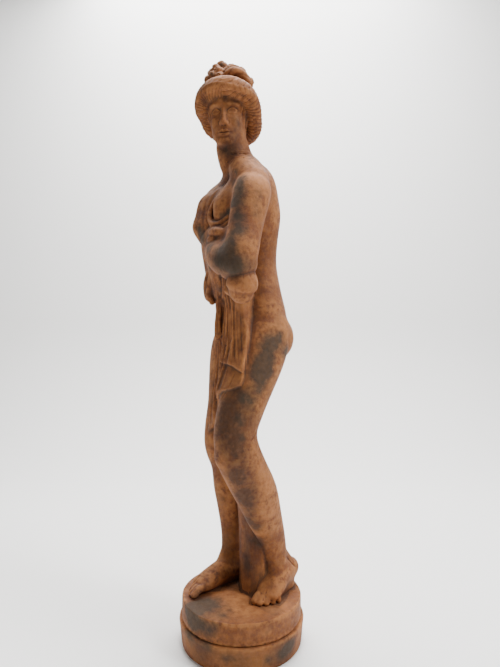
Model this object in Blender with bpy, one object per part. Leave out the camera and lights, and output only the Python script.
# Garden statue of a standing woman, cast in iron with the drum under her feet,
# on a wider round step. Metres, +Z up, the body faces -Y, and the origin is the
# centre of the step's underside.
import math

import bmesh
import bpy
from mathutils import Euler, Matrix, Vector

# Driving sizes, in metres
FIGURE_HEIGHT = 1.45  # from the soles to the top of the curls
DRUM_DIAMETER = 0.324  # round base cast in one with the figure
DRUM_HEIGHT = 0.056
STEP_DIAMETER = 0.338  # separate round step below it
STEP_HEIGHT = 0.066
STEP_TAPER = 0.006  # how far the step's wall draws in towards the ground
EDGE_ROUND = 0.004  # soft cast edge of the drum and the step
SEAT_GAP = 0.0003  # the drum rests on the step with this hair gap
DETAIL = 0.0045  # size of the smallest form kept while the figure's forms are fused
SOFTENING = 4  # smoothing passes after that
FIGURE_TRIANGLES = 7400
DRUM_SEGMENTS = 64

# The figure's own points are in thousandths of its height, above the drum
THOUSANDTH = FIGURE_HEIGHT / 1000
DRUM_BASE = STEP_HEIGHT + SEAT_GAP
DRUM_TOP = DRUM_BASE + DRUM_HEIGHT
RING_POINTS = 28
LOFT_STEPS = 5

# The head in its own frame, facing -Y: place of its centre, turn in degrees, and the
# curls on top as x, y, z and radius
HEAD_CENTRE = (-1, -26, 893)
HEAD_TURN = (9, 0, 53)
CURLS = (
    (-14, 18, 93, 12),
    (-28, 8, 77, 13),
    (-31, -8, 62, 12),
    (-12, -5, 75, 12),
    (7, -8, 73, 12),
    (6, 13, 85, 13),
    (23, 4, 77, 13),
    (35, 10, 62, 12),
    (24, -12, 63, 12),
    (24, 26, 68, 15),
    (0, 30, 76, 15),
    (-24, 26, 68, 15),
)


def spline(values, steps):
    """Points on a smooth curve through the rows of values, with steps between two rows."""
    rows = [Vector(v) for v in values]
    ends = [2 * rows[0] - rows[1]] + rows + [2 * rows[-1] - rows[-2]]
    found = []
    for i in range(len(rows) - 1):
        a, b, c, d = ends[i : i + 4]
        for k in range(steps):
            t = k / steps
            found.append(
                0.5 * (2 * b + (c - a) * t + (2 * a - 5 * b + 4 * c - d) * t**2
                       + (3 * b - a - 3 * c + d) * t**3)
            )
    return found + [rows[-1]]


def skin(clay, rings):
    """A closed tube over rings of equal length, capped at both ends."""
    made = [[clay.verts.new(p) for p in ring] for ring in rings]
    count = len(made[0])
    for low, high in zip(made, made[1:]):
        for i in range(count):
            j = (i + 1) % count
            clay.faces.new((low[i], low[j], high[j], high[i]))
    clay.faces.new(reversed(made[0]))
    clay.faces.new(made[-1])


def oval(centre, side, front, half_width, half_front, half_back):
    """A ring around centre whose front half and back half have their own depth."""
    ring = []
    for i in range(RING_POINTS):
        angle = 2 * math.pi * i / RING_POINTS
        depth = half_front if math.sin(angle) > 0 else half_back
        ring.append(centre + side * half_width * math.cos(angle) + front * depth * math.sin(angle))
    return ring


def trunk(clay, stations):
    """A body of level ovals: z, x and y of the centre, half width, front depth, back depth."""
    centres = spline([(x, y, z, 0) for z, x, y, *_ in stations], LOFT_STEPS)
    spans = spline([s[3:6] for s in stations], LOFT_STEPS)
    side = Vector((1, 0, 0))
    front = Vector((0, -1, 0))
    skin(clay, [oval(c.to_3d(), side, front, *span) for c, span in zip(centres, spans)])


def limb(clay, stations, front=(0, -1, 0), steps=LOFT_STEPS, flutes=0, flute_depth=0.0):
    """A round-ended tube through x, y, z, half width and half depth, whose depth lies along front."""
    path = spline([Vector((*s[:3], 0)) for s in stations], steps)
    sizes = spline([Vector((s[3], s[-1], 0)) for s in stations], steps)
    points = [p.to_3d() for p in path]
    spans = [(size.x, size.y) for size in sizes]
    for end in (0, -1):
        out = (points[end] - points[1 if end == 0 else -2]).normalized()
        wide, deep = spans[end]
        tip = points[end].copy()
        for angle in (math.radians(a) for a in (30, 55, 75)):
            point = tip + out * min(wide, deep) * math.sin(angle)
            span = (wide * math.cos(angle), deep * math.cos(angle))
            points.insert(0 if end == 0 else len(points), point)
            spans.insert(0 if end == 0 else len(spans), span)
    rings = []
    for i, point in enumerate(points):
        along = (points[min(i + 1, len(points) - 1)] - points[max(i - 1, 0)]).normalized()
        side = Vector(front).cross(along).normalized()
        wide, deep = spans[i]
        ring = oval(point, side, along.cross(side), wide, deep, deep)
        if flutes:
            for k, corner in enumerate(ring):
                angle = 2 * math.pi * k / RING_POINTS
                corner += (corner - point) * flute_depth * math.cos(flutes * angle)
        rings.append(ring)
    skin(clay, rings)


def ball(clay, centre, radii, turn=(0, 0, 0)):
    """An ellipsoid, turned by angles in degrees."""
    place = (
        Matrix.Translation(centre)
        @ Euler([math.radians(t) for t in turn]).to_matrix().to_4x4()
        @ Matrix.Diagonal((*radii, 1))
    )
    bmesh.ops.create_uvsphere(clay, u_segments=24, v_segments=16, radius=1, matrix=place)


def curtain(clay, rows, thickness, pleats, depth, across=60, steps=8):
    """A closed sheet of cloth through rows of points, her left edge first, with pleats that run down it."""
    lines = [spline(r, across // (len(r) - 1)) for r in rows]
    grid = [list(row) for row in zip(*[spline(column, steps) for column in zip(*lines)])]
    last, wide = len(grid) - 1, len(grid[0]) - 1
    outer, inner = [], []
    for i, row in enumerate(grid):
        front_row, back_row = [], []
        for j, point in enumerate(row):
            down = grid[min(i + 1, last)][j] - grid[max(i - 1, 0)][j]
            over = row[min(j + 1, wide)] - row[max(j - 1, 0)]
            normal = over.cross(down).normalized()
            wave = depth * (0.5 - 0.5 * math.cos(2 * math.pi * pleats * j / wide)) ** 0.7
            front_row.append(clay.verts.new(point + normal * wave))
            back_row.append(clay.verts.new(point - normal * thickness))
        outer.append(front_row)
        inner.append(back_row)
    for i in range(last):
        for j in range(wide):
            clay.faces.new((outer[i][j], outer[i][j + 1], outer[i + 1][j + 1], outer[i + 1][j]))
            clay.faces.new((inner[i][j], inner[i + 1][j], inner[i + 1][j + 1], inner[i][j + 1]))
        clay.faces.new((outer[i][0], outer[i + 1][0], inner[i + 1][0], inner[i][0]))
        clay.faces.new((outer[i][wide], inner[i][wide], inner[i + 1][wide], outer[i + 1][wide]))
    for j in range(wide):
        clay.faces.new((outer[0][j], inner[0][j], inner[0][j + 1], outer[0][j + 1]))
        clay.faces.new((outer[last][j], outer[last][j + 1], inner[last][j + 1], inner[last][j]))


def turned(clay, start, centre, turn):
    """Turns and moves everything modelled since start from its own frame to its place."""
    place = Matrix.Translation(centre) @ Euler([math.radians(t) for t in turn]).to_matrix().to_4x4()
    clay.verts.ensure_lookup_table()
    bmesh.ops.transform(clay, matrix=place, verts=clay.verts[start:])


def body(clay):
    """Trunk, breasts, buttocks and the slopes from the neck to the shoulders."""
    trunk(clay, [
        (440, 0, 20, 60, 38, 45),
        (478, 0, 18, 92, 50, 66),
        (520, 0, 18, 90, 46, 62),
        (565, 0, 19, 77, 44, 50),
        (615, 0, 19, 66, 42, 43),
        (660, 0, 16, 73, 46, 48),
        (700, 0, 11, 83, 48, 57),
        (735, 0, 9, 86, 42, 52),
        (762, 0, 8, 82, 34, 46),
        (785, 0, 7, 62, 32, 40),
        (806, 0, 0, 36, 29, 28),
    ])
    for side in (-1, 1):
        ball(clay, (side * 34, -40, 706), (32, 34, 33))
        ball(clay, (side * 40, 40, 478), (46, 44, 46))
        limb(clay, [(side * 14, 2, 812, 18), (side * 48, -2, 780, 22), (side * 78, -12, 750, 27)])


def legs(clay):
    """Her right leg carries the weight; her left knee is bent across in front of it."""
    limb(clay, [
        (49, 24, 490, 48, 48),
        (56, 6, 445, 50, 51),
        (66, -30, 366, 43, 44),
        (71, -43, 318, 36, 38),
        (74, -40, 281, 33, 40),
        (68, -26, 248, 31, 37),
        (56, 2, 200, 30, 35),
        (43, 25, 150, 25, 29),
        (31, 46, 107, 19, 23),
        (24, 60, 62, 19, 24),
    ])
    ball(clay, (73, -62, 277), (22, 20, 26))
    limb(clay, [
        (-49, 24, 495, 48, 48),
        (-55, 12, 445, 50, 51),
        (-60, -2, 350, 41, 41),
        (-66, -10, 300, 34, 38),
        (-67, -12, 265, 31, 36),
        (-67, 0, 225, 31, 34),
        (-66, 4, 180, 30, 33),
        (-65, 6, 130, 24, 26),
        (-65, 7, 85, 18, 21),
        (-65, 8, 48, 18, 22),
    ])
    ball(clay, (-67, -31, 268), (20, 16, 24))
    ball(clay, (0, 8, 440), (30, 36, 30))


def foot(clay, ankle, heel, toe):
    """A bare foot from heel to toes, broad over the toes and high at the instep."""
    ankle, heel, toe = Vector(ankle), Vector(heel), Vector(toe)
    along = toe - heel
    up = Vector((0, 0, 1))
    limb(clay, [
        (*(heel + along * 0.06), 17, 18),
        (*(heel + along * 0.2 + up * 2), 20, 20),
        (*(heel + along * 0.45 + up * 8), 22, 22),
        (*(heel + along * 0.66 + up * 5), 27, 17),
        (*(heel + along * 0.85 + up * 1), 29, 12),
        (*toe, 26, 9),
    ], front=(0, 0, 1))
    limb(clay, [
        (*(ankle + up * 6), 18, 22),
        (*(ankle.lerp(heel + along * 0.5, 0.5)), 18, 20),
        (*(heel + along * 0.5 + up * 13), 20, 16),
        (*(heel + along * 0.7 + up * 6), 20, 13),
    ])
    limb(clay, [(*(ankle + up * 14), 17, 18), (*ankle.lerp(heel, 0.5), 17, 19), (*(heel + along * 0.08), 16, 17)])


def arms(clay):
    """Both arms bent across under the breasts, the left forearm below the right hand."""
    limb(clay, [
        (76, -12, 742, 27, 31),
        (87, -20, 724, 31, 33),
        (96, -36, 665, 28, 30),
        (105, -48, 622, 28, 30),
        (106, -53, 600, 26, 28),
    ])
    limb(clay, [
        (106, -53, 602, 28, 28),
        (82, -60, 604, 29, 29),
        (52, -64, 613, 24, 26),
        (24, -65, 623, 21, 17),
        (0, -60, 622, 20, 12),
        (-22, -50, 617, 18, 11),
    ])
    limb(clay, [
        (-70, -18, 746, 27, 31),
        (-82, -29, 732, 31, 32),
        (-85, -22, 665, 26, 28),
        (-88, -14, 606, 24, 25),
    ])
    limb(clay, [
        (-88, -14, 604, 24, 24),
        (-66, -24, 620, 24, 24),
        (-40, -46, 641, 20, 22),
        (-14, -64, 658, 19, 15),
        (10, -68, 659, 21, 11),
        (34, -68, 656, 19, 9),
        (54, -60, 656, 16, 8),
    ])


def head(clay):
    """Neck, head and put-up hair; the head looks over her left shoulder and a little down."""
    limb(clay, [
        (0, 6, 770, 42, 36),
        (0, 0, 795, 34, 34),
        (0, -12, 820, 32, 32),
        (0, -20, 845, 31, 33),
        (-2, -24, 870, 31, 36),
    ])
    start = len(clay.verts)
    trunk(clay, [
        (-58, 0, -26, 11, 10, 10),
        (-53, 0, -24, 18, 17, 18),
        (-43, 0, -16, 24, 26, 26),
        (-30, 0, -9, 29, 33, 34),
        (-14, 0, -3, 34, 38, 43),
        (2, 0, 0, 36, 40, 48),
        (18, 0, 2, 37, 44, 50),
        (34, 0, 4, 35, 42, 48),
        (47, 0, 5, 28, 33, 38),
        (55, 0, 6, 15, 18, 20),
    ])
    limb(clay, [(0, -38, 10, 5), (0, -44, -4, 5), (0, -46, -15, 6)])
    ball(clay, (0, 12, 12), (46, 50, 46))
    half_roll = [(46, 8, -6, 15), (46, -8, 12, 16), (38, -22, 28, 17), (20, -32, 37, 18), (0, -35, 40, 18)]
    nape = [(0, 46, -35, 15), (26, 39, -33, 15), (42, 24, -22, 15)]
    right = [(-x, y, z, r) for x, y, z, r in nape + half_roll[:-1]]
    limb(clay, nape + half_roll + right[::-1], front=(0, 0.3, 1))
    for x, y, z, radius in CURLS:
        ball(clay, (x, y, z), (radius, radius, radius))
    turned(clay, start, HEAD_CENTRE, HEAD_TURN)


def drapery(clay):
    """Cloth over the right breast and under the left, falling over the thighs and between the legs."""
    chest = [
        [(-8, -36, 768), (-30, -36, 766), (-58, -36, 758)],
        [(0, -52, 735), (-32, -70, 735), (-64, -48, 735)],
        [(8, -62, 706), (-34, -84, 706), (-68, -52, 706)],
        [(16, -64, 678), (-32, -83, 675), (-68, -50, 675)],
        [(20, -64, 652), (-32, -71, 650), (-66, -40, 650)],
        [(16, -56, 622), (-38, -54, 620), (-62, -28, 620)],
    ]
    curtain(clay, chest, 12, 5, 2)
    neckline = [(-8, -36, 768, 4), (2, -54, 735, 4), (8, -65, 712, 4.5), (14, -68, 690, 5), (30, -68, 674, 5)]
    limb(clay, neckline + [(52, -58, 676, 5), (68, -44, 690, 4)])
    limb(clay, [(4, -60, 674, 10), (38, -62, 664, 10), (66, -46, 668, 11), (84, -26, 690, 10)])
    limb(clay, [(10, -46, 650, 34, 20), (6, -44, 610, 38, 20), (0, -34, 560, 44, 16)])
    limb(clay, [(60, -30, 600, 24), (86, -38, 588, 25), (100, -43, 572, 26), (101, -43, 560, 28), (100, -43, 548, 24)])
    limb(clay, [(-46, -44, 596, 12), (-47, -46, 580, 16), (-46, -46, 560, 15)])
    right_thigh = [
        [(0, -44, 592), (-30, -42, 592), (-58, -32, 592), (-80, -14, 592)],
        [(5, -38, 530), (-30, -36, 530), (-62, -22, 530), (-88, 0, 530)],
        [(8, -34, 450), (-30, -34, 450), (-66, -18, 450), (-98, 6, 450)],
        [(5, -34, 370), (-34, -42, 370), (-68, -27, 370), (-98, 0, 370)],
        [(0, -32, 330), (-38, -50, 305), (-72, -42, 290), (-96, -16, 300)],
    ]
    curtain(clay, right_thigh, 14, 5, 6)
    lower_layer = [
        [(90, -32, 460), (70, -44, 460), (40, -46, 460), (10, -40, 460)],
        [(92, -38, 415), (74, -54, 415), (44, -56, 415), (14, -46, 415)],
        [(92, -42, 392), (72, -60, 387), (44, -64, 370), (14, -54, 352)],
    ]
    curtain(clay, lower_layer, 12, 4, 6)
    upper_layer = [
        [(88, -36, 592), (60, -52, 592), (25, -50, 592), (-5, -46, 592)],
        [(78, -30, 530), (58, -40, 530), (28, -40, 530), (0, -36, 530)],
        [(90, -32, 470), (70, -44, 470), (35, -46, 470), (5, -40, 470)],
        [(95, -34, 430), (76, -54, 434), (42, -56, 438), (12, -46, 440)],
    ]
    curtain(clay, upper_layer, 14, 5, 7)
    column = [(2, -16, 400, 34, 18), (3, 0, 300, 36, 18), (-3, 14, 200, 36, 17), (-8, 22, 100, 37, 18), (-2, 20, -4, 35, 22)]
    limb(clay, column, flutes=7, flute_depth=0.14)


def figure_clay():
    """All the forms of the figure, not yet fused."""
    clay = bmesh.new()
    body(clay)
    legs(clay)
    foot(clay, (24, 60, 62), (-4, 104, 23), (61, 20, 9))
    foot(clay, (-65, 8, 48), (-66, 38, 18), (-41, -78, 9))
    arms(clay)
    head(clay)
    drapery(clay)
    return clay


def clean_scene():
    for old in list(bpy.data.objects):
        bpy.data.objects.remove(old)


def add_object(name, clay, material):
    """A named object from a bmesh, in the scene."""
    bmesh.ops.recalc_face_normals(clay, faces=clay.faces)
    mesh = bpy.data.meshes.new(name)
    clay.to_mesh(mesh)
    clay.free()
    obj = bpy.data.objects.new(name, mesh)
    bpy.context.scene.collection.objects.link(obj)
    if material:
        mesh.materials.append(material)
    return obj


def drum(name, base, height, low_radius, top_radius, material):
    """A round slab with softened edges."""
    clay = bmesh.new()
    centre = Matrix.Translation((0, 0, base + height / 2))
    bmesh.ops.create_cone(
        clay, cap_ends=True, segments=DRUM_SEGMENTS, radius1=low_radius, radius2=top_radius,
        depth=height, matrix=centre,
    )
    rims = [e for e in clay.edges if abs(e.verts[0].co.z - e.verts[1].co.z) < height / 10]
    bmesh.ops.bevel(clay, geom=rims, offset=EDGE_ROUND, segments=2, affect="EDGES", profile=0.5)
    return add_object(name, clay, material)


def rusted_iron():
    material = bpy.data.materials.new("rusted_iron")
    material.use_nodes = True
    shader = material.node_tree.nodes["Principled BSDF"]
    shader.inputs["Base Color"].default_value = (0.25, 0.1, 0.04, 1)
    shader.inputs["Roughness"].default_value = 0.85
    return material


def made_real(obj):
    """Turns an object with its modifiers into plain mesh."""
    bpy.ops.object.select_all(action="DESELECT")
    obj.select_set(True)
    bpy.context.view_layer.objects.active = obj
    bpy.ops.object.convert(target="MESH")


def cast_figure(material):
    """Fuses the forms into one skin, thins its triangles and joins it to the drum."""
    clay = figure_clay()
    place = Matrix.Translation((0, 0, DRUM_TOP)) @ Matrix.Scale(THOUSANDTH, 4)
    bmesh.ops.transform(clay, matrix=place, verts=clay.verts)
    figure = add_object("figure", clay, material)
    fuse = figure.modifiers.new("fuse", "REMESH")
    fuse.mode = "VOXEL"
    fuse.voxel_size = DETAIL
    soften = figure.modifiers.new("soften", "SMOOTH")
    soften.factor = 0.5
    soften.iterations = SOFTENING
    made_real(figure)
    thin = figure.modifiers.new("thin", "DECIMATE")
    thin.ratio = FIGURE_TRIANGLES / (2 * len(figure.data.polygons))
    made_real(figure)
    base = drum("drum", DRUM_BASE, DRUM_HEIGHT, DRUM_DIAMETER / 2, DRUM_DIAMETER / 2, material)
    join = figure.modifiers.new("join", "BOOLEAN")
    join.operation = "UNION"
    join.solver = "EXACT"
    join.object = base
    made_real(figure)
    bpy.data.objects.remove(base)


def main():
    clean_scene()
    iron = rusted_iron()
    cast_figure(iron)
    drum("plinth_step", 0, STEP_HEIGHT, STEP_DIAMETER / 2 - STEP_TAPER, STEP_DIAMETER / 2, iron)


main()
